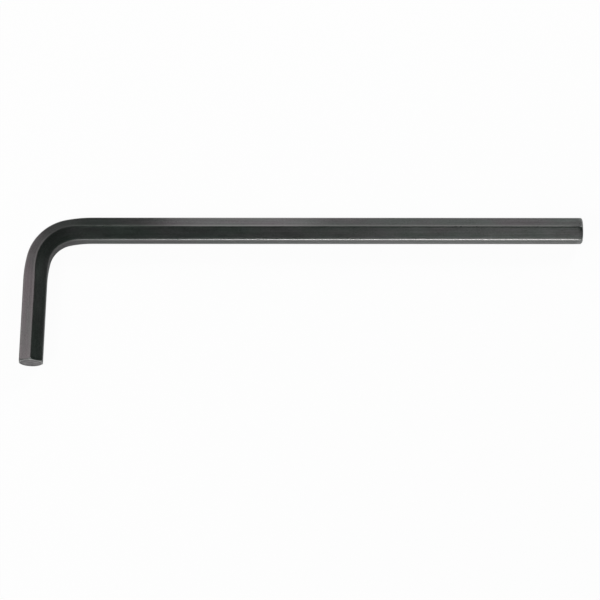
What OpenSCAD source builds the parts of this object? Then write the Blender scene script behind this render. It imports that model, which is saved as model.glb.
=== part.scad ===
// Hex key: one hexagonal bar, chamfered at both ends and bent once.
// It lies flat, with the bend in the XY plane and a corner of the bar underneath.
// +X runs along the long arm, the short arm points to -Y, and +Z is up.
// The origin is the middle of the key's footprint, on the surface it lies on.

/* [Bar] */
// Distance across the flats of the bar
across_flats = 6; // [4:0.5:12]
// Radius that drawing leaves on the six corners of the bar
corner_r = 0.5; // [0.1:0.05:1]

/* [Arms] */
// Length of the long arm, over the thickness of the short one
long_arm = 141; // [60:1:300]
// Length of the short arm, over the thickness of the long one
short_arm = 38; // [28:1:90]

/* [Bend] */
// Angle between the arms, a little open because the bar springs back
arm_angle = 92.5; // [90:0.5:100]
// Radius of the inner flat round the middle of the bend
bend_inside_r = 6.6; // [4:0.1:12]
// Radius of the inner flat where the bend eases into each arm
ease_inside_r = 28; // [18:1:60]
// Angle that the bar turns through in each of those easings
ease_turn = 11; // [4:0.5:18]

/* [Tips] */
// Depth of the chamfer on the end face, measured in from the corners
chamfer_in = 0.6; // [0.2:0.05:1.2]
// Length of the chamfer along the corners of the bar
chamfer_along = 0.3; // [0.1:0.05:1]

/* [Hidden] */
$fn = 72;

// Half the bar's width over the flats, and over the rounded corners
half_flats = across_flats / 2;
half_corners = across_flats / sqrt(3) - corner_r * (1 / cos(30) - 1);

// Centreline radii and the turn left for the middle of the bend
mid_r = bend_inside_r + half_flats;
ease_r = ease_inside_r + half_flats;
turn = 180 - arm_angle;
mid_turn = turn - 2 * ease_turn;

// Where the middle arc's end lies beside the tangent line of the whole bend
bend_rise = ease_r * (1 - cos(ease_turn)) + mid_r * cos(ease_turn);
bend_run = (ease_r - mid_r) * sin(ease_turn);

// From the crossing of the two arm axes to where each arm becomes straight
tangent_length = bend_rise * tan(turn / 2) + bend_run;

// Straight length of each arm, to the middle of its end face
long_straight = long_arm - half_flats - tangent_length;
short_straight = short_arm - half_flats - tangent_length;

// Radius of the round end face that the chamfer leaves
face_r = half_corners - chamfer_in;
// Half the end face's width over the flats, which a shallow chamfer doesn't reach
half_face = min(face_r, half_flats);
// How far the chamfer runs down the middle of each flat
flat_chamfer = (half_flats - half_face) * chamfer_along / chamfer_in;

// Footprint, measured from the crossing of the arm axes
reach_x = long_arm - half_flats;
reach_y = short_arm - half_flats;
low_x = (reach_y - flat_chamfer) * cos(arm_angle) - half_flats * sin(arm_angle);
low_y = -reach_y * sin(arm_angle) + half_face * cos(arm_angle);
middle_x = (reach_x + low_x) / 2;
middle_y = (half_flats + low_y) / 2;

// Corner centres of the rounded hexagon, flats to the left and right
function corner_centre(i) =
    let (reach = (half_flats - corner_r) / cos(30), a = 30 + 60 * i)
    [reach * cos(a), reach * sin(a)];

// Ends of corner i's arc, where it meets the flats on its two sides
function arc_end(i, side) =
    let (a = 30 + 60 * i + 30 * side)
    corner_centre(i) + corner_r * [cos(a), sin(a)];

// The bar's section: a hexagon whose corners are arcs
module bar_section() {
    polygon([for (i = [0:5]) for (side = [-1, 1]) arc_end(i, side)]);
    for (i = [0:5]) translate(corner_centre(i)) circle(r = corner_r);
}

// A length of bar along -Y from the XZ plane, with its far end chamfered
module arm(length) {
    blank_r = half_corners + chamfer_in;
    blank = length - 2 * chamfer_along;
    rotate([90, 0, 0]) intersection() {
        linear_extrude(length) bar_section();
        rotate_extrude()
            polygon([[0, 0], [blank_r, 0], [blank_r, blank], [face_r, length], [0, length]]);
    }
}

// A bent length of bar about the Z axis, from the +X side round to an angle
module arc_of_bar(radius, angle) {
    rotate_extrude(angle = angle) translate([radius, 0]) bar_section();
}

// Joins lengths of bar whose end faces meet. It works at a thousandth of their
// size, where a turn's rounded last digit is too small to leave a gap.
module welded() {
    scale(1000) for (i = [0:$children - 1]) scale(0.001) children(i);
}

// An easing arc and the arm that follows it, leaving the middle arc at +X
module eased_arm(length) {
    translate([mid_r - ease_r, 0]) rotate(-ease_turn) {
        arc_of_bar(ease_r, ease_turn);
        translate([ease_r, 0]) arm(length);
    }
}

// Both arms joined by the middle arc, which is centred on the origin
module bent_bar() {
    welded() {
        arc_of_bar(mid_r, mid_turn);
        eased_arm(long_straight);
        rotate(mid_turn) mirror([0, 1]) eased_arm(short_straight);
    }
}

module hex_key() {
    color("dimgray")
        translate([-middle_x, -middle_y, half_corners])
            translate([tangent_length - bend_run, -bend_rise])
                rotate(90 + ease_turn) bent_bar();
}

hex_key();
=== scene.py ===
import math

import bpy
import numpy as np
from mathutils import Matrix, Vector


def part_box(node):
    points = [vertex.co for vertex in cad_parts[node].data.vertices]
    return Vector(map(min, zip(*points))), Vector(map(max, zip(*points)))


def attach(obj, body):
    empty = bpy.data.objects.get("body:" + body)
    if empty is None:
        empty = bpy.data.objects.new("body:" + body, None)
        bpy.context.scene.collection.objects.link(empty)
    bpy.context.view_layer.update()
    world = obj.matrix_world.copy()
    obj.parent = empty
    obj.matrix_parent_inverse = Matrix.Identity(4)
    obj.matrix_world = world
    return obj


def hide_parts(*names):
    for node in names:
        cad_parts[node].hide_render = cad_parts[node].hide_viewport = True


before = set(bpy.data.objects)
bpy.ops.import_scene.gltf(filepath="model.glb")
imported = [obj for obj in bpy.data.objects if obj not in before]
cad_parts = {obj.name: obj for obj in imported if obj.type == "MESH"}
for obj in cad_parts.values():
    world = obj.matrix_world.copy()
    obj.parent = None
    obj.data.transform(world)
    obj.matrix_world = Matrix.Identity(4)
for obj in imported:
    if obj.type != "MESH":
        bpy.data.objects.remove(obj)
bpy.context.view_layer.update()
KEY_LOW, KEY_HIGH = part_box("hex_key")

bl_info = {
    "name": "Hex key",
    "version": (1, 0, 0),
    "blender": (4, 5, 0),
    "location": "3D View > Sidebar > Hex Key",
    "description": "A black-oxide hex key, bent from one bar of drawn steel",
    "category": "Add Mesh",
}

MM = 0.001
# The imported node that the bar stands for, and the name of the bar's mesh
NODE = "hex_key"

# Steps round each corner of the bar, and the points across each flat as shares of it
CORNER_STEPS = 10
FLAT_SPOTS = (0.03, 0.07, 0.12, 0.18, 0.27, 0.5, 0.73, 0.82, 0.88, 0.93, 0.97)
# Spacing of the rings on the arms and in the bend, and how far from each end they start
STRAIGHT_STEP = 1.5 * MM
BEND_STEP = 0.35 * MM
RINGS_START = 1.2 * MM
# Rings in each of a tip's two roundings, and on its face as shares of the flat's radius
ROUNDING_STEPS = 5
FACE_RINGS = (0.93, 0.8, 0.62, 0.44, 0.27, 0.12)
# How much of the chamfer the side's rounding and the face's rounding take, and how far
# the second one runs onto the face, as a share of the tip rounding
SIDE_ROUNDING_SHARE = 0.55
FACE_ROUNDING_SHARE = 0.3
FACE_ROUNDING_REACH = 0.35

# The flat map of the bar: the gap beside and below its strips, its left margin, the
# width added at its right, the room over its strips for their last rings and a gap
# under the two discs, and where the discs' middles are as shares of its width
MAP_GAP = 0.6 * MM
MAP_LEFT = 0.3 * MM
MAP_RIGHT = 0.5 * MM
MAP_ROOM = 1.4 * MM
MAP_DISCS = (0.25, 0.75)
# Places along the bar that are this close count as one
SAME_PLACE = 1e-9

# The strips of pale steel: where round the bar each one lies in degrees, from the outer flat's
# middle over the top, how far it lies beyond that in millimetres, and its width in
# millimetres. The first six are the bar's corners, where the pale steel is partly real wear
# and partly a painted highlight, and the last is the inner flat, where it is only a painted
# reflection.
STRIP_TURNS = np.radians((30, 90, 150, 210, 270, 330, 180))
STRIP_LEAN = np.array((0, -0.22, -0.1, -0.2, 0, 0, 0.4)) * MM
STRIP_WIDTH = np.array((0.33, 0.33, 0.33, 0.33, 0.33, 0.33, 1.3)) * MM
# How much pale steel each strip shows, as wear and painted highlight, with a row for each
# place along the bar, which is counted from the long tip. The shares are set one by one,
# by grey level.
STRIP_PLACES = np.array((1.5, 4, 15, 40, 70, 97, 106, 118, 132, 145)) * MM
STRIP_WEAR_AND_HIGHLIGHT = np.array((
    (0.3, 0.05, 0.80, 1.0, 0.8, 0.5, 0.20),
    (0.3, 0.50, 0.96, 1.0, 0.8, 0.5, 0.40),
    (0.3, 0.50, 0.96, 1.0, 0.8, 0.5, 0.42),
    (0.3, 0.50, 1.00, 1.0, 0.8, 0.5, 0.36),
    (0.3, 0.26, 1.00, 0.9, 0.8, 0.5, 0.22),
    (0.3, 0.32, 0.90, 0.6, 0.7, 0.4, 0.06),
    (0.3, 0.28, 0.75, 0.5, 0.6, 0.4, 0.0),
    (0.3, 1.00, 0.60, 0.4, 0.5, 0.4, 0.0),
    (0.3, 0.12, 0.22, 0.2, 0.4, 0.3, 0.0),
    (0.2, 0.05, 0.10, 0.2, 0.4, 0.2, 0.0),
))
# How much the rim of the short tip is rubbed and painted with a glint at those strips, and between
# them
RIM_WEAR_AND_GLINT = (1.0, 1.0, 0.3, 0.4, 0.3, 0.4, 0.0)
RIM_WEAR_AND_GLINT_BETWEEN = 0.75
# The share of that wear and painted glint that the long tip's rim gets
LONG_RIM_SHARE = 0.1
# Over a tip's two roundings the wear and painted glint is a bell, whose middle and width
# are counted in rings from the side. The power makes the strips wider where they reach the rim.
RIM_MIDDLE = 5.8
RIM_WIDTH = 2.2
RIM_SPREAD = 0.4
# How far from the middle of the bend the oxide's painted shade has fully given way to painted
# light
LIT_ARMS_FROM = 110 * MM


def linear(hex_colour):
    """An sRGB colour such as "5a5c5b" as linear red, green, blue and an alpha of 1."""
    srgb = np.array([int(hex_colour[i:i + 2], 16) for i in (0, 2, 4)]) / 255
    low = srgb / 12.92
    high = ((srgb + 0.055) / 1.055) ** 2.4
    return (*np.where(srgb <= 0.04045, low, high).tolist(), 1.0)


def length_prop(name, description, default_mm):
    """A length in the panel, given here in millimetres."""
    return bpy.props.FloatProperty(
        name=name, description=description, default=default_mm * MM,
        min=0.0, precision=4, unit="LENGTH")


def share_prop(name, description, default):
    """A share from 0 to 1 in the panel."""
    return bpy.props.FloatProperty(
        name=name, description=description, default=default,
        min=0.0, max=1.0, subtype="FACTOR")


def colour_prop(name, description, hex_colour):
    """A colour in the panel."""
    return bpy.props.FloatVectorProperty(
        name=name, description=description, default=linear(hex_colour)[:3],
        size=3, min=0.0, max=1.0, subtype="COLOR")


class BarSizes(bpy.types.PropertyGroup):
    """Sizes of the bar and its bend. The arms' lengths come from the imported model."""
    across_flats: length_prop("Across flats", "Distance across the flats of the bar", 6)
    corner_radius: length_prop("Corner radius", "Radius on the bar's six corners", 0.5)
    arm_angle: bpy.props.FloatProperty(
        name="Arm angle", description="Angle between the two arms",
        default=math.radians(92.5), subtype="ANGLE")
    bend_inside_radius: length_prop(
        "Bend inside radius", "Radius of the inner flat round the middle of the bend", 6.6)
    ease_inside_radius: length_prop(
        "Easing inside radius", "Radius of the inner flat where the bend eases out", 28)
    ease_turn: bpy.props.FloatProperty(
        name="Easing turn", description="Angle that each easing turns through",
        default=math.radians(11), subtype="ANGLE")
    chamfer_in: length_prop("Chamfer depth", "How far the chamfer cuts in from a corner", 0.6)
    chamfer_along: length_prop("Chamfer length", "How far it runs along a corner", 0.3)
    tip_rounding: length_prop("Tip rounding", "How far tumbling has rounded the tips", 0.2)
    bend_swell: share_prop("Bend swell", "How much the bend's inner side is upset", 0.035)
    bend_lean: length_prop("Bend lean", "How far out the bend's top corner is pushed", 0.37)


class OxideFinish(bpy.types.PropertyGroup):
    """Colours and shine of the black oxide and of the steel that shows through it."""
    warm_oxide: colour_prop("Warm oxide", "The oxide where it leans to violet", "6f6c6e")
    cool_oxide: colour_prop("Cool oxide", "The oxide where it leans to green", "6a6e6c")
    # The worn steel colour is laid on the strips, partly as real wear and partly as painted
    # highlights and a painted reflection; the edge share below scales it
    worn_steel_and_highlight: colour_prop("Worn steel", "Steel that shows on rubbed corners", "c6c5c4")
    roughness: share_prop("Roughness", "How much the drawn surface blurs a reflection", 0.275)
    edge_wear_and_highlight: share_prop("Edge wear", "How much of the corners' oxide is rubbed off", 1.0)


class StudioLook(bpy.types.PropertyGroup):
    """The floor and the light level."""
    floor_colour: colour_prop("Floor", "The pale floor under the key", "f4f4f4")
    floor_share: share_prop("Floor white", "Share of the floor that shows as plain white", 0.96)
    steel_share: share_prop("Floor in steel", "The same share where the steel mirrors it", 0.12)
    room_colour: colour_prop("Room", "The dim room round the lamps", "47524c")
    lamp_level: bpy.props.FloatProperty(
        name="Lamp level", description="Scales every lamp", default=1.0, min=0.0)


class Bar:
    """The measurements that the mesh needs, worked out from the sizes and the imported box."""

    def __init__(self, sizes):
        self.half_flats = sizes.across_flats / 2
        self.corner_radius = sizes.corner_radius
        self.half_corners = KEY_HIGH.z / 2
        self.turn = math.pi - sizes.arm_angle
        self.ease_turn = sizes.ease_turn
        self.mid_radius = sizes.bend_inside_radius + self.half_flats
        self.ease_radius = sizes.ease_inside_radius + self.half_flats
        self.chamfer_in = sizes.chamfer_in
        self.chamfer_along = sizes.chamfer_along
        self.face_radius = self.half_corners - sizes.chamfer_in
        self.rounding = sizes.tip_rounding
        self.swell = sizes.bend_swell
        self.lean = sizes.bend_lean
        rise = (self.ease_radius * (1 - math.cos(self.ease_turn))
                + self.mid_radius * math.cos(self.ease_turn))
        run = (self.ease_radius - self.mid_radius) * math.sin(self.ease_turn)
        self.tangent = rise * math.tan(self.turn / 2) + run
        # The long arm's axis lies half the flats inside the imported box's far side.
        # The short arm's end face reaches the box's near side with its inner edge.
        angle = sizes.arm_angle
        half_face = min(self.face_radius, self.half_flats)
        flat_chamfer = (self.half_flats - half_face) * self.chamfer_along / self.chamfer_in
        self.axis_y = KEY_HIGH.y - self.half_flats
        reach_y = (half_face * math.cos(angle) - (KEY_LOW.y - self.axis_y)) / math.sin(angle)
        cross_x = KEY_LOW.x - ((reach_y - flat_chamfer) * math.cos(angle)
                               - self.half_flats * math.sin(angle))
        self.crossing = np.array([cross_x, self.axis_y])
        self.long_straight = KEY_HIGH.x - cross_x - self.tangent
        self.short_straight = reach_y - self.tangent

    def lengths(self):
        """Lengths of the long arm, easing, middle arc, easing and short arm."""
        ease = self.ease_radius * self.ease_turn
        mid = self.mid_radius * (self.turn - 2 * self.ease_turn)
        return np.array([self.long_straight, ease, mid, ease, self.short_straight])

    def starts(self):
        """Distances along the bar at which those five stretches start and the last ends."""
        return np.concatenate([[0], np.cumsum(self.lengths())])

    def curvatures(self):
        """One over the radius of each of those five stretches, 0 where it is straight."""
        ease, mid = 1 / self.ease_radius, 1 / self.mid_radius
        return np.array([0.0, ease, mid, ease, 0.0])

    def centreline(self, along):
        """Places and headings at distances along the bar from the long arm's end face.

        The heading is the start's, plus the sum of curvature times length. Within a
        stretch of curvature k that starts at heading h, a distance t moves the place by
        (sin(h + k t) - sin h, cos h - cos(h + k t)) / k, or by t straight on where k is 0.
        """
        lengths, bends, starts = self.lengths(), self.curvatures(), self.starts()
        headings = math.pi + np.concatenate([[0], np.cumsum(lengths * bends)])

        def moved(heading, bend, distance):
            safe = np.where(bend == 0, 1, bend)
            turned = heading + bend * distance
            x = np.where(bend == 0, distance * np.cos(heading),
                         (np.sin(turned) - np.sin(heading)) / safe)
            y = np.where(bend == 0, distance * np.sin(heading),
                         (np.cos(heading) - np.cos(turned)) / safe)
            return np.stack([x, y], -1)

        corner = np.array([KEY_HIGH.x, self.axis_y])
        places = corner + np.concatenate(
            [np.zeros((1, 2)), np.cumsum(moved(headings[:-1], bends, lengths), 0)])
        i = np.clip(np.searchsorted(starts, along, side="right") - 1, 0, 4)
        distance = along - starts[i]
        heading = headings[i] + bends[i] * distance
        return places[i] + moved(headings[i], bends[i], distance), heading


def bar_section(bar):
    """The bar's section: out and up from its axis, distance round it, and edge shares.

    A corner is an arc: its centre, plus the corner radius times the direction of the
    normal, which turns 60 degrees. A flat is a straight mix of two arcs' ends. An edge
    share, one for each strip of wear and painted highlight, is 1 in its middle and falls
    as a bell beside it.
    """
    middles = np.radians(30 + 60 * np.arange(6))[:, None]
    reach = (bar.half_flats - bar.corner_radius) / math.cos(math.radians(30))
    centres = reach * np.stack([np.cos(middles), np.sin(middles)], -1)
    turns = middles + np.radians(np.linspace(-30, 30, CORNER_STEPS + 1))
    arcs = centres + bar.corner_radius * np.stack([np.cos(turns), np.sin(turns)], -1)
    spots = np.array(FLAT_SPOTS)[None, :, None]
    after = np.roll(arcs[:, :1], -1, axis=0)
    flats = arcs[:, -1:] * (1 - spots) + after * spots
    points = np.concatenate([arcs, flats], axis=1).reshape(-1, 2)
    steps = np.linalg.norm(np.roll(points, -1, axis=0) - points, axis=1)
    around = np.concatenate([[0], np.cumsum(steps)])
    leaning = STRIP_TURNS + STRIP_LEAN / bar.half_corners
    tops = np.stack([np.cos(leaning), np.sin(leaning)], -1) * bar.half_corners
    gaps = np.linalg.norm(points[:, None] - tops[None], axis=2)
    return points, around, np.exp(-(gaps / STRIP_WIDTH) ** 2)


def body_rows(bar):
    """Distances along the bar of its plain rings, close together in the bend."""
    lengths, starts = bar.lengths(), bar.starts()
    long_count = max(2, round(lengths[0] / STRAIGHT_STEP))
    bend_count = round((starts[4] - starts[1]) / BEND_STEP)
    short_count = max(2, round(lengths[4] / STRAIGHT_STEP))
    long_rows = np.linspace(RINGS_START, starts[1], long_count)
    bend_rows = np.linspace(starts[1], starts[4], bend_count)
    short_rows = np.linspace(starts[4], starts[5] - RINGS_START, short_count)
    return np.concatenate([long_rows, bend_rows[1:-1], short_rows])


def bezier(first, corner, last, steps):
    """Points of the quadratic curve from first to last that leaves both towards corner."""
    t = np.linspace(0, 1, steps)[:, None, None]
    return (1 - t) ** 2 * first + 2 * t * (1 - t) * corner + t ** 2 * last


def tip_profile(bar, radii):
    """Tip rows as radius and depth behind the end face, from the side to the face.

    Over each point of the section the tip is a side, a conical chamfer and a flat face,
    and a quadratic curve rounds the corner between each two of them.
    """
    along = bar.chamfer_along * (radii - bar.face_radius) / bar.chamfer_in
    side = np.stack([radii, along], -1)
    rim = np.stack([np.full_like(radii, bar.face_radius), np.zeros_like(radii)], -1)
    slope = rim - side
    behind = side + [0, bar.rounding]
    first = bezier(behind, side, side + SIDE_ROUNDING_SHARE * slope, ROUNDING_STEPS)
    inner = rim - [FACE_ROUNDING_REACH * bar.rounding, 0]
    second = bezier(rim - FACE_ROUNDING_SHARE * slope, rim, inner, ROUNDING_STEPS)
    rings = np.array(FACE_RINGS)[:, None] * inner[None, :, 0]
    face = np.stack([rings, np.zeros_like(rings)], -1)
    return np.concatenate([first, second, face])


def bend_share(bar, along):
    """1 in the middle arc and 0 along the arms, with t t (3 - 2 t) between them."""
    starts = bar.starts()
    ease = bar.ease_radius * bar.ease_turn
    rise = np.clip((along - starts[1]) / ease, 0, 1) * np.clip((starts[4] - along) / ease, 0, 1)
    return rise ** 2 * (3 - 2 * rise)


def lit_arms_share(bar, along):
    """0 in the middle of the bend, rising as t t (3 - 2 t) to 1 along the arms. It sets the
    oxide's painted shade and light.
    """
    starts = bar.starts()
    far = np.clip(np.abs(along - (starts[2] + starts[3]) / 2) / LIT_ARMS_FROM, 0, 1)
    return far ** 2 * (3 - 2 * far)


def rubbed_and_lit_share(along, edges, body_count):
    """How much pale steel shows, as wear and painted highlight: by the strips' table, or by a
    rim's bell if more.

    A strip's amount at a ring is read off the table between its places, and falls to
    its sides with the edge share. A rim's bell runs over the rings of a tip's roundings.
    """
    rounding = np.arange(2 * ROUNDING_STEPS)
    face = np.zeros(len(FACE_RINGS))
    bell = np.concatenate([np.exp(-((rounding - RIM_MIDDLE) / RIM_WIDTH) ** 2), face])
    rim_rows = np.concatenate([LONG_RIM_SHARE * bell[::-1], np.zeros(body_count), bell])
    # The rims' share is wear and painted glint
    rim_turns = np.maximum((edges ** RIM_SPREAD * RIM_WEAR_AND_GLINT).max(axis=1), RIM_WEAR_AND_GLINT_BETWEEN)
    # Each strip's share is wear on the corners and painted highlight, and painted reflection only
    # on the inner flat
    wear_and_highlight = np.stack([
        np.interp(along[:, 0], STRIP_PLACES, amounts) for amounts in STRIP_WEAR_AND_HIGHLIGHT.T], axis=1)
    rubbed_and_lit = np.maximum((wear_and_highlight[:, None] * edges).max(axis=2), rim_rows[:, None] * rim_turns)
    # The end faces themselves get no wear and no painted highlight
    rubbed_and_lit[:len(FACE_RINGS)] = 0
    rubbed_and_lit[-len(FACE_RINGS):] = 0
    return rubbed_and_lit


def key_surface(bar):
    """Every ring of the key's surface, from the long tip's face to the short tip's.

    A place is the centreline's, plus the section's outward share times the direction
    away from the bend's centre, plus its upward share. In the bend, the upward share
    grows on the inner side and shrinks on the outer, as upset and drawn metal does.
    The bending tool also pushes the upper side out there, most at the top corner. Its
    share is the height over the axis times one less the outward share, over their most.
    """
    points, around, edges = bar_section(bar)
    radii = np.linalg.norm(points, axis=1)
    directions = points / radii[:, None]
    total = bar.lengths().sum()
    tip = tip_profile(bar, radii)
    rows = body_rows(bar)
    body = np.broadcast_to(points, (len(rows), *points.shape))
    tip_points = tip[..., :1] * directions
    section = np.concatenate([tip_points[::-1], body, tip_points])
    along = np.concatenate([
        tip[::-1, :, 1], np.broadcast_to(rows[:, None], (len(rows), len(points))),
        total - tip[..., 1]])
    bend = bend_share(bar, along)
    out, up = section[..., 0], section[..., 1]
    pushed = np.maximum(up, 0) / bar.half_corners * (1 - np.maximum(out, 0) / bar.half_flats)
    up = up * (1 - bar.swell * bend * out / bar.half_flats)
    out = out + bar.lean * bend * pushed
    places, headings = bar.centreline(along)
    away = np.stack([np.sin(headings), -np.cos(headings)], -1)
    flat = places + out[..., None] * away
    surface = np.concatenate([flat, (up + bar.half_corners)[..., None]], -1)
    straight = np.stack([along, section[..., 0], section[..., 1]], -1)
    shares = {
        "rubbed_and_lit": rubbed_and_lit_share(along, edges, len(rows)),
        "bend": bend,
        "lit_arms": lit_arms_share(bar, along),
    }
    return surface, straight, around, shares


def strip_map(bar, straight, around):
    """A flat map of the bar, in three lengths side by side, with both end faces above.

    Across is the distance round the bar and up is the distance along it, so that the
    draw lines run up the map. An end face is laid on it as seen from outside.
    """
    rows, columns = straight.shape[:2]
    perimeter = around[-1]
    along = straight[..., 0].mean(axis=1)
    cuts = np.array([0, 1 / 3, 2 / 3]) * along[-1]
    part = np.clip(np.searchsorted(cuts, along[:-1] + SAME_PLACE, side="right") - 1, 0, 2)
    pitch = perimeter + MAP_GAP
    tall = MAP_GAP + along[-1] / 3 + MAP_ROOM
    size = 3 * pitch + MAP_RIGHT
    left = MAP_LEFT + part * pitch
    low = MAP_GAP - cuts[part]
    u = left[:, None] + perimeter - around[None]
    v0 = (along[:-1] + low)[:, None]
    v1 = (along[1:] + low)[:, None]
    corners = np.empty((rows - 1, columns, 4, 2))
    corners[:, :, 0] = np.stack(np.broadcast_arrays(u[:, :-1], v0), -1)
    corners[:, :, 1] = np.stack(np.broadcast_arrays(u[:, :-1], v1), -1)
    corners[:, :, 2] = np.stack(np.broadcast_arrays(u[:, 1:], v1), -1)
    corners[:, :, 3] = np.stack(np.broadcast_arrays(u[:, 1:], v0), -1)
    # The rings inside each rim are laid flat above the strips
    disc_rows = len(FACE_RINGS)
    centre_v = tall + bar.half_corners
    poles = np.array([[share * size, centre_v] for share in MAP_DISCS])
    for first, pole, side in ((0, poles[0], 1), (rows - 1 - disc_rows, poles[1], -1)):
        ring = pole + straight[first:first + disc_rows + 1, :, 1:] * [side, 1]
        after = np.roll(ring, -1, axis=1)
        corners[first:first + disc_rows] = np.stack(
            [ring[:-1], ring[1:], after[1:], after[:-1]], axis=2)
    return corners, poles, max(size, centre_v + bar.half_corners)


def with_poles(values):
    """The values of every ring in one list, and the mean of each end ring for its pole."""
    rows, columns = values.shape[:2]
    flat = values.reshape(rows * columns, -1)
    ends = np.stack([flat[:columns].mean(0), flat[-columns:].mean(0)])
    return np.concatenate([flat, ends])


def smooth_mesh(points, loops, counts):
    """A smooth mesh of points, every face's corners in one list, and how many each has."""
    mesh = bpy.data.meshes.new(NODE)
    mesh.vertices.add(len(points))
    mesh.vertices.foreach_set("co", points.ravel())
    mesh.loops.add(len(loops))
    mesh.loops.foreach_set("vertex_index", loops)
    mesh.polygons.add(len(counts))
    mesh.polygons.foreach_set("loop_start", np.concatenate([[0], np.cumsum(counts)[:-1]]))
    mesh.polygons.foreach_set("use_smooth", np.ones(len(counts), bool))
    return mesh


def key_mesh(bar):
    """The key as one closed mesh, with its maps and the attributes its finish reads."""
    surface, straight, around, shares = key_surface(bar)
    rows, columns = surface.shape[:2]
    start = np.arange(rows * columns).reshape(rows, columns)
    after = np.roll(start, -1, axis=1)
    quads = np.stack([start[:-1], start[1:], after[1:], after[:-1]], -1).reshape(-1, 4)
    poles = np.array([rows * columns, rows * columns + 1])
    first_fan = np.stack([start[0], after[0], np.full(columns, poles[0])], -1)
    last_fan = np.stack([after[-1], start[-1], np.full(columns, poles[1])], -1)
    loops = np.concatenate([quads.ravel(), first_fan.ravel(), last_fan.ravel()])
    counts = np.concatenate([np.full(len(quads), 4), np.full(2 * columns, 3)])
    mesh = smooth_mesh(with_poles(surface), loops, counts)

    # The end faces and their fans wear the second material
    disc_rows = len(FACE_RINGS)
    band = np.repeat(np.arange(rows - 1), columns)
    on_face = (band < disc_rows) | (band >= rows - 1 - disc_rows)
    cut = np.concatenate([on_face, np.ones(2 * columns, bool)])
    mesh.polygons.foreach_set("material_index", cut.astype(np.int32))

    corners, pole_places, size = strip_map(bar, straight, around)
    middle = np.broadcast_to(pole_places[:, None], (2, columns, 2))
    fans = np.stack([
        np.stack([corners[0, :, 0], corners[0, :, 3], middle[0]], 1),
        np.stack([corners[-1, :, 2], corners[-1, :, 1], middle[1]], 1)])
    places = np.concatenate([corners.reshape(-1, 2), fans.reshape(-1, 2)]) / size
    mesh.uv_layers.new(name="OFBake").data.foreach_set("uv", places.ravel())

    unbent = mesh.attributes.new("unbent", "FLOAT_VECTOR", "POINT")
    unbent.data.foreach_set("vector", with_poles(straight).ravel())
    for name, values in shares.items():
        layer = mesh.attributes.new(name, "FLOAT", "POINT")
        layer.data.foreach_set("value", with_poles(values).ravel())
    mesh.update(calc_edges=True)
    mesh.validate()
    return mesh


def add_node(tree, kind, inputs, **settings):
    """Adds a node with its settings and links, and returns its outputs.

    An input goes by its name or by its place counted from 0, and takes a number, a
    colour or the output that feeds it.
    """
    node = tree.nodes.new(kind)
    for name, value in settings.items():
        setattr(node, name, value)
    for name, value in inputs.items():
        if isinstance(value, bpy.types.NodeSocket):
            tree.links.new(value, node.inputs[name])
        else:
            node.inputs[name].default_value = value
    return node.outputs


def blank_material(name):
    """A material with an empty node tree, and that tree."""
    material = bpy.data.materials.new(name)
    material.use_nodes = True
    material.node_tree.nodes.clear()
    return material, material.node_tree


# Patterns on the drawn steel: patch length along the bar and width round it in
# millimetres, detail and roughness of the noise. Draw lines are really 0.02 to 0.05 mm
# apart, and the etched grain is as fine. Both are made coarser, so that they show, and
# the others have their real size.
STEEL_PATTERNS = {
    "patches": (14, 3.5, 2.0, 0.5),
    "stains": (5, 1.6, 3.0, 0.5),
    "lines": (26, 0.3, 2.0, 0.6),
    "grain": (0.35, 0.22, 2.0, 0.6),
    "nicks": (2.6, 0.9, 3.0, 0.6),
    "peel": (0.7, 0.5, 2.0, 0.5),
}


# How dark and how light each of these makes the oxide, as shares of its colour
OXIDE_SHADES = {"stains": (0.90, 1.09), "lines": (0.86, 1.14), "grain": (0.76, 1.24)}


def steel_patterns(tree, unbent):
    """Each pattern's noise, laid along the bar as it was before bending."""
    found = {}
    for name, (along, across, detail, roughness) in STEEL_PATTERNS.items():
        scale = (1 / (along * MM), 1 / (across * MM), 1 / (across * MM))
        placed = add_node(tree, "ShaderNodeMapping", {"Vector": unbent, "Scale": scale})
        found[name] = add_node(tree, "ShaderNodeTexNoise", {
            "Vector": placed[0], "Scale": 1.0, "Detail": detail, "Roughness": roughness})[0]
    return found


def oxide_colour(tree, finish, found, lit_arms):
    """The oxide's colour: patches of its two hues, shaded by its other patterns.

    Painted shade makes it darker in and near the bend, and painted light makes it lighter towards
    the tips.
    """
    leaning = add_node(tree, "ShaderNodeMapRange", {0: found["patches"], 1: 0.35, 2: 0.65})
    hue = add_node(tree, "ShaderNodeMix", {
        0: leaning[0], 6: (*finish.warm_oxide, 1.0), 7: (*finish.cool_oxide, 1.0)},
        data_type="RGBA")
    # Painted shade darkens the oxide in and near the bend, and painted light brightens it towards
    # the tips
    shade = add_node(tree, "ShaderNodeMapRange", {0: lit_arms, 3: 0.93, 4: 1.3})
    for name, (dark, light) in OXIDE_SHADES.items():
        share = add_node(tree, "ShaderNodeMapRange", {
            0: found[name], 1: 0.25, 2: 0.75, 3: dark, 4: light})
        shade = add_node(tree, "ShaderNodeMath", {0: shade[0], 1: share[0]}, operation="MULTIPLY")
    return add_node(tree, "ShaderNodeVectorMath", {0: hue[2], 3: shade[0]}, operation="SCALE")[0]


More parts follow.
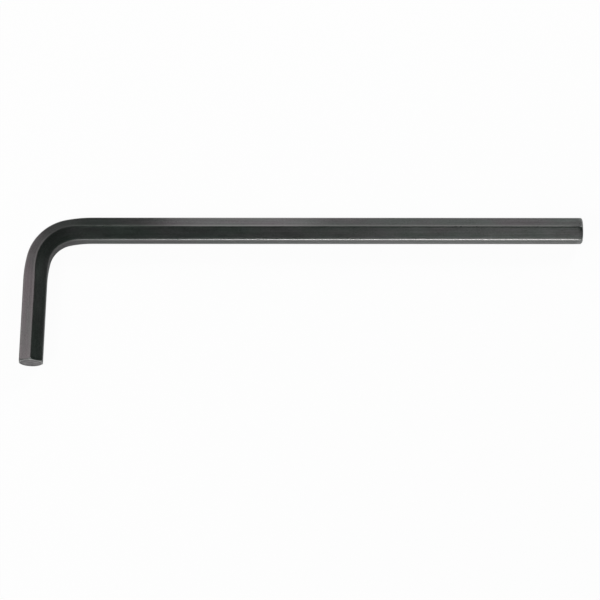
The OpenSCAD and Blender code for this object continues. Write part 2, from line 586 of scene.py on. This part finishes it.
def steel_roughness(tree, finish, found, bend, worn_and_lit):
    """The steel's roughness: duller in the stretched bend, and even on the pale strips of wear and
    painted highlight.
    """
    dull = add_node(tree, "ShaderNodeMapRange", {
        0: found["grain"], 1: 0.2, 2: 0.8, 3: finish.roughness - 0.05, 4: finish.roughness + 0.05})
    patchy = add_node(tree, "ShaderNodeMath", {
        0: found["stains"], 1: 0.08, 2: dull[0]}, operation="MULTIPLY_ADD")
    stretched = add_node(tree, "ShaderNodeMath", {
        0: bend, 1: 0.05, 2: patchy[0]}, operation="MULTIPLY_ADD")
    return add_node(tree, "ShaderNodeMix", {
        0: worn_and_lit, 2: stretched[0], 3: finish.roughness - 0.02})[0]


def steel_bump(tree, found, bend):
    """The steel's fine relief: draw lines and etched grain, and orange peel in the bend."""
    peel = add_node(tree, "ShaderNodeMath", {0: found["peel"], 1: bend}, operation="MULTIPLY")
    grained = add_node(tree, "ShaderNodeMath", {
        0: found["grain"], 1: 0.35, 2: found["lines"]}, operation="MULTIPLY_ADD")
    height = add_node(tree, "ShaderNodeMath", {
        0: peel[0], 1: 1.6, 2: grained[0]}, operation="MULTIPLY_ADD")
    return add_node(tree, "ShaderNodeBump", {
        "Height": height[0], "Strength": 1.0, "Distance": 0.004 * MM})[0]


def drawn_black_oxide(finish):
    """Chrome-vanadium steel, drawn to a hexagon, bent, tempered and blackened hot.

    The oxide is a thin dark skin over metal: it shines like metal and reflects little.
    Drawing leaves fine lines along the bar, which stretch a highlight across it, and the
    hot bath leaves soft patches that lean to violet or green. Corners rub pale, and pale
    strips also paint highlights on the corners and a reflection on the inner flat.
    """
    material, tree = blank_material("drawn_black_oxide_steel")
    unbent, rubbed_and_lit, bend, lit_arms = (
        add_node(tree, "ShaderNodeAttribute", {}, attribute_name=name)
        for name in ("unbent", "rubbed_and_lit", "bend", "lit_arms"))
    found = steel_patterns(tree, unbent["Vector"])
    # The pale strips, wear and painted highlight alike, are broken up along the corner, as nicks
    # and handling leave it
    broken = add_node(tree, "ShaderNodeMapRange", {
        0: found["nicks"], 1: 0.3, 2: 0.68, 3: 0.92 * finish.edge_wear_and_highlight, 4: finish.edge_wear_and_highlight})
    worn_and_lit = add_node(tree, "ShaderNodeMath", {
        0: rubbed_and_lit["Fac"], 1: broken[0]}, operation="MULTIPLY")
    oxide = oxide_colour(tree, finish, found, lit_arms["Fac"])
    colour = add_node(tree, "ShaderNodeMix", {
        0: worn_and_lit[0], 6: oxide, 7: (*finish.worn_steel_and_highlight, 1.0)}, data_type="RGBA")
    rough = steel_roughness(tree, finish, found, bend["Fac"], worn_and_lit[0])
    bump = steel_bump(tree, found, bend["Fac"])
    across = add_node(tree, "ShaderNodeTangent", {}, direction_type="UV_MAP", uv_map="OFBake")
    shader = add_node(tree, "ShaderNodeBsdfPrincipled", {
        "Base Color": colour[2], "Metallic": 1.0, "Roughness": rough, "Anisotropic": 0.8,
        "Normal": bump, "Tangent": across[0]})
    add_node(tree, "ShaderNodeOutputMaterial", {"Surface": shader[0]})
    return material


# The broad ring of painted sheen on the end faces, and how many rings Blender's wave has to a unit
FACE_RING = 2.83 * MM
WAVE_RINGS = 10 / math.pi


def turned_black_oxide(finish):
    """The same steel on the end faces, which are turned flat before blackening.

    A cutter leaves fine rings round the middle, so the face is duller than the drawn
    flats. It also has one broad faint ring, a painted sheen from those rings, and patches of
    oxide.
    """
    material, tree = blank_material("turned_black_oxide_steel")
    unbent = add_node(tree, "ShaderNodeAttribute", {}, attribute_name="unbent")
    split = add_node(tree, "ShaderNodeSeparateXYZ", {0: unbent["Vector"]})
    face = add_node(tree, "ShaderNodeCombineXYZ", {0: split["Y"], 1: split["Z"]})
    # Tool marks are about 0.08 mm apart, too fine to show, so only the broad ring of sheen with
    # which they shade the face is made, painted into its colour as well as its bump
    rings = add_node(tree, "ShaderNodeTexWave", {
        "Vector": face[0], "Scale": 1 / (WAVE_RINGS * FACE_RING), "Distortion": 1.4,
        "Detail": 2.0, "Detail Scale": 1.2}, wave_type="RINGS", rings_direction="SPHERICAL")
    spots = add_node(tree, "ShaderNodeTexNoise", {
        "Vector": face[0], "Scale": 1 / (1.1 * MM), "Detail": 4.0, "Roughness": 0.6})
    # The ring is painted sheen in the face's colour
    ring_sheen = add_node(tree, "ShaderNodeMapRange", {0: rings["Fac"], 3: 1.2, 4: 1.6})
    pitted = add_node(tree, "ShaderNodeMapRange", {0: spots[0], 1: 0.3, 2: 0.7, 3: 0.5, 4: 1.5})
    shade = add_node(tree, "ShaderNodeMath", {0: ring_sheen[0], 1: pitted[0]}, operation="MULTIPLY")
    colour = add_node(tree, "ShaderNodeVectorMath", {
        0: finish.warm_oxide, 3: shade[0]}, operation="SCALE")
    rough = add_node(tree, "ShaderNodeMapRange", {0: spots[0], 1: 0.25, 2: 0.75, 3: 0.4, 4: 0.52})
    bump = add_node(tree, "ShaderNodeBump", {
        "Height": rings["Fac"], "Strength": 1.0, "Distance": 0.006 * MM})
    shader = add_node(tree, "ShaderNodeBsdfPrincipled", {
        "Base Color": colour[0], "Metallic": 1.0, "Roughness": rough[0], "Normal": bump[0]})
    add_node(tree, "ShaderNodeOutputMaterial", {"Surface": shader[0]})
    return material


def studio_floor(look):
    """Matt white paper. The camera sees it mostly as plain white, and the steel a little.

    The rest of it is lit by the lamps, so it keeps a soft shadow under the key.
    """
    material, tree = blank_material("matt_white_paper")
    ray = add_node(tree, "ShaderNodeLightPath", {})
    seen = add_node(tree, "ShaderNodeMath", {
        0: ray["Is Camera Ray"], 1: look.floor_share}, operation="MULTIPLY")
    mirrored = add_node(tree, "ShaderNodeMath", {
        0: ray["Is Glossy Ray"], 1: ray["Is Transmission Ray"]}, operation="MAXIMUM")
    share = add_node(tree, "ShaderNodeMath", {
        0: mirrored[0], 1: look.steel_share, 2: seen[0]}, operation="MULTIPLY_ADD")
    # Paper fibres make the shade a little uneven, in patches of about 2 mm
    place = add_node(tree, "ShaderNodeTexCoord", {})
    fibres = add_node(tree, "ShaderNodeTexNoise", {
        "Vector": place["Object"], "Scale": 1 / (2 * MM), "Detail": 3.0})
    shade = add_node(tree, "ShaderNodeMapRange", {0: fibres[0], 1: 0.3, 2: 0.7, 3: 0.985, 4: 1.0})
    colour = add_node(tree, "ShaderNodeVectorMath", {
        0: look.floor_colour, 3: shade[0]}, operation="SCALE")
    matt = add_node(tree, "ShaderNodeBsdfDiffuse", {"Color": colour[0]})
    white = add_node(tree, "ShaderNodeEmission", {"Color": (1.0, 1.0, 1.0, 1.0), "Strength": 1.0})
    both = add_node(tree, "ShaderNodeMixShader", {0: share[0], 1: matt[0], 2: white[0]})
    add_node(tree, "ShaderNodeOutputMaterial", {"Surface": both[0]})
    return material


# Half the floor's width, in metres
FLOOR_HALF = 6.0

# Each lamp: name, place, the point it faces, width, height, power in watts and colour.
# The rear ones show in the long arm's outer flat, the left ones in the short arm, the low
# and high ones in the long arm's inner flats, and the last two light the floor. The
# powers began as a fit of test renders to the photograph's grey levels, and were changed
# one by one afterwards.
LAMPS = (
    ("rear_0", (-0.0875, 0.12, 0.04), (-0.0875, 0.0, 0.04), 0.085, 0.07, 0.0005, "fffafc"),
    ("rear_1", (-0.0135, 0.12, 0.04), (-0.0135, 0.0, 0.04), 0.043, 0.07, 0.0095, "fffafc"),
    ("rear_2", (0.045, 0.12, 0.04), (0.045, 0.0, 0.04), 0.07, 0.07, 0.0071, "fff8fb"),
    ("rear_3", (0.12, 0.12, 0.04), (0.12, 0.0, 0.04), 0.08, 0.07, 0.0043, "fff7fa"),
    ("left_0", (-0.20, 0.025, 0.10), (0.0, 0.025, 0.02), 0.05, 0.14, 0.030, "ffeff4"),
    ("left_1", (-0.20, 0.08, 0.10), (0.0, 0.08, 0.02), 0.06, 0.14, 0.030, "ffeff4"),
    ("left_2", (-0.20, 0.16, 0.10), (0.0, 0.14, 0.02), 0.10, 0.14, 0.034, "ffeff4"),
    ("left_3", (-0.20, 0.28, 0.10), (0.0, 0.10, 0.02), 0.14, 0.14, 0.011, "ffeff4"),
    ("low_0", (-0.045, -0.50, 0.11), (-0.045, 0.0, 0.11), 0.05, 0.14, 0.03, "ffffff"),
    ("low_1", (0.0125, -0.50, 0.11), (0.0125, 0.0, 0.0), 0.065, 0.14, 0.0028, "ffffff"),
    ("low_2", (0.0875, -0.50, 0.11), (0.0875, 0.0, 0.0), 0.075, 0.14, 0.0031, "fffcfd"),
    ("high", (0.1025, -0.50, 0.27), (0.1025, 0.0, 0.0), 0.075, 0.18, 0.0034, "fffbfc"),
    ("front_left", (-0.28, -0.20, 0.34), (0.0, 0.0, 0.0), 0.18, 0.18, 1.0, "ffffff"),
    ("rear_right", (0.30, 0.38, 0.34), (0.0, 0.0, 0.0), 0.18, 0.18, 1.4, "ffffff"),
)

# Lamps behind a grid, which narrows their beam so that the bend doesn't mirror them
GRIDDED = ("low_1", "low_2", "high")
GRID_BEAM = math.radians(26)

# The photograph's view, fitted to the key's outline for a picture 600 pixels across:
# angles in degrees, pixels per metre at the crossing of the two arms' axes, the camera's
# distance from there in such pixels, and the crossing's place in the picture, right and
# up from its upper left corner.
PICTURE = 600
VIEW_TURN, VIEW_HEIGHT, VIEW_ROLL = -5.7274, 72.4763, 5.4724
VIEW_SCALE = 3952.4
VIEW_DISTANCE = 1 / 0.00022
CROSSING_PIXEL = (38.0358, -230.7409)


def photo_camera(bar):
    """A camera at the photograph's viewing angle.

    It looks along the direction that the turn and height give, rolled about it, from
    VIEW_DISTANCE pixels away, and moved sideways so that the crossing of the arms'
    axes falls on its pixel.
    """
    turn, height, roll = (math.radians(a) for a in (VIEW_TURN, VIEW_HEIGHT, VIEW_ROLL))
    back = Vector((math.sin(turn) * math.cos(height), -math.cos(turn) * math.cos(height),
                   math.sin(height)))
    right = Vector((math.cos(turn), math.sin(turn), 0))
    up = back.cross(right)
    across = right * math.cos(roll) + up * math.sin(roll)
    upward = up * math.cos(roll) - right * math.sin(roll)
    shift_x = PICTURE / 2 - CROSSING_PIXEL[0]
    shift_y = -PICTURE / 2 - CROSSING_PIXEL[1]
    place = (across * shift_x + upward * shift_y + back * VIEW_DISTANCE) / VIEW_SCALE
    crossing = Vector((*bar.crossing, bar.half_corners))
    data = bpy.data.cameras.new("photo_camera")
    data.sensor_width = 36.0
    data.lens = data.sensor_width * VIEW_DISTANCE / PICTURE
    data.clip_start, data.clip_end = 0.01, 20.0
    camera = bpy.data.objects.new("photo_camera", data)
    bpy.context.scene.collection.objects.link(camera)
    turned = Matrix((across, upward, back)).transposed().to_4x4()
    camera.matrix_world = Matrix.Translation(crossing + place) @ turned
    bpy.context.scene.camera = camera


class HEXKEY_OT_bar(bpy.types.Operator):
    """Makes the key: one hexagonal bar carried along its bent centreline"""
    bl_idname = "hexkey.bar"
    bl_label = "Make the bar"

    def execute(self, context):
        bar = Bar(context.scene.hex_key_sizes)
        mesh = key_mesh(bar)
        mesh.materials.append(drawn_black_oxide(context.scene.hex_key_finish))
        mesh.materials.append(turned_black_oxide(context.scene.hex_key_finish))
        piece = bpy.data.objects.new("bent_hex_bar", mesh)
        context.scene.collection.objects.link(piece)
        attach(piece, "root")
        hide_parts(NODE)
        return {"FINISHED"}


class HEXKEY_OT_stage(bpy.types.Operator):
    """Makes the floor, the lamps, the room and the camera"""
    bl_idname = "hexkey.stage"
    bl_label = "Make the stage"

    def execute(self, context):
        look = context.scene.hex_key_studio
        mesh = bpy.data.meshes.new("floor")
        corners = np.array([(-1, -1, 0), (1, -1, 0), (1, 1, 0), (-1, 1, 0)]) * FLOOR_HALF
        mesh.from_pydata(corners.tolist(), [], [(0, 1, 2, 3)])
        mesh.materials.append(studio_floor(look))
        floor = bpy.data.objects.new("floor", mesh)
        context.scene.collection.objects.link(floor)
        for name, place, aim, width, height, power, colour in LAMPS:
            data = bpy.data.lights.new(name, "AREA")
            data.shape = "RECTANGLE"
            data.size, data.size_y = width, height
            data.energy = power * look.lamp_level
            if name in GRIDDED:
                data.spread = GRID_BEAM
            data.color = linear(colour)[:3]
            lamp = bpy.data.objects.new(name, data)
            context.scene.collection.objects.link(lamp)
            lamp.location = place
            facing = Vector(aim) - Vector(place)
            lamp.rotation_euler = facing.to_track_quat("-Z", "Y").to_euler()
            lamp.visible_camera = False
        world = bpy.data.worlds.new("room")
        world.use_nodes = True
        world.node_tree.nodes.clear()
        room = add_node(world.node_tree, "ShaderNodeBackground", {
            "Color": (*look.room_colour, 1.0), "Strength": 1.0})
        add_node(world.node_tree, "ShaderNodeOutputWorld", {"Surface": room[0]})
        context.scene.world = world
        context.scene.view_settings.view_transform = "Standard"
        photo_camera(Bar(context.scene.hex_key_sizes))
        return {"FINISHED"}


class HEXKEY_PT_panel(bpy.types.Panel):
    """Sizes, finish and stage of the hex key"""
    bl_idname = "HEXKEY_PT_panel"
    bl_label = "Hex Key"
    bl_space_type = "VIEW_3D"
    bl_region_type = "UI"
    bl_category = "Hex Key"

    def draw(self, context):
        scene = context.scene
        for group, operator in (
                (scene.hex_key_sizes, HEXKEY_OT_bar.bl_idname),
                (scene.hex_key_finish, None),
                (scene.hex_key_studio, HEXKEY_OT_stage.bl_idname)):
            column = self.layout.box().column()
            for name in group.__annotations__:
                column.prop(group, name)
            if operator:
                column.operator(operator)


CLASSES = (BarSizes, OxideFinish, StudioLook, HEXKEY_OT_bar, HEXKEY_OT_stage, HEXKEY_PT_panel)


def register():
    """Registers the classes and gives the scene its three groups of settings."""
    for cls in CLASSES:
        bpy.utils.register_class(cls)
    bpy.types.Scene.hex_key_sizes = bpy.props.PointerProperty(type=BarSizes)
    bpy.types.Scene.hex_key_finish = bpy.props.PointerProperty(type=OxideFinish)
    bpy.types.Scene.hex_key_studio = bpy.props.PointerProperty(type=StudioLook)


def unregister():
    """Takes the settings and the classes away again."""
    del bpy.types.Scene.hex_key_studio
    del bpy.types.Scene.hex_key_finish
    del bpy.types.Scene.hex_key_sizes
    for cls in reversed(CLASSES):
        bpy.utils.unregister_class(cls)


def main():
    """Makes the stage and the key."""
    register()
    bpy.ops.hexkey.stage()
    bpy.ops.hexkey.bar()


if __name__ == "__main__":
    main()
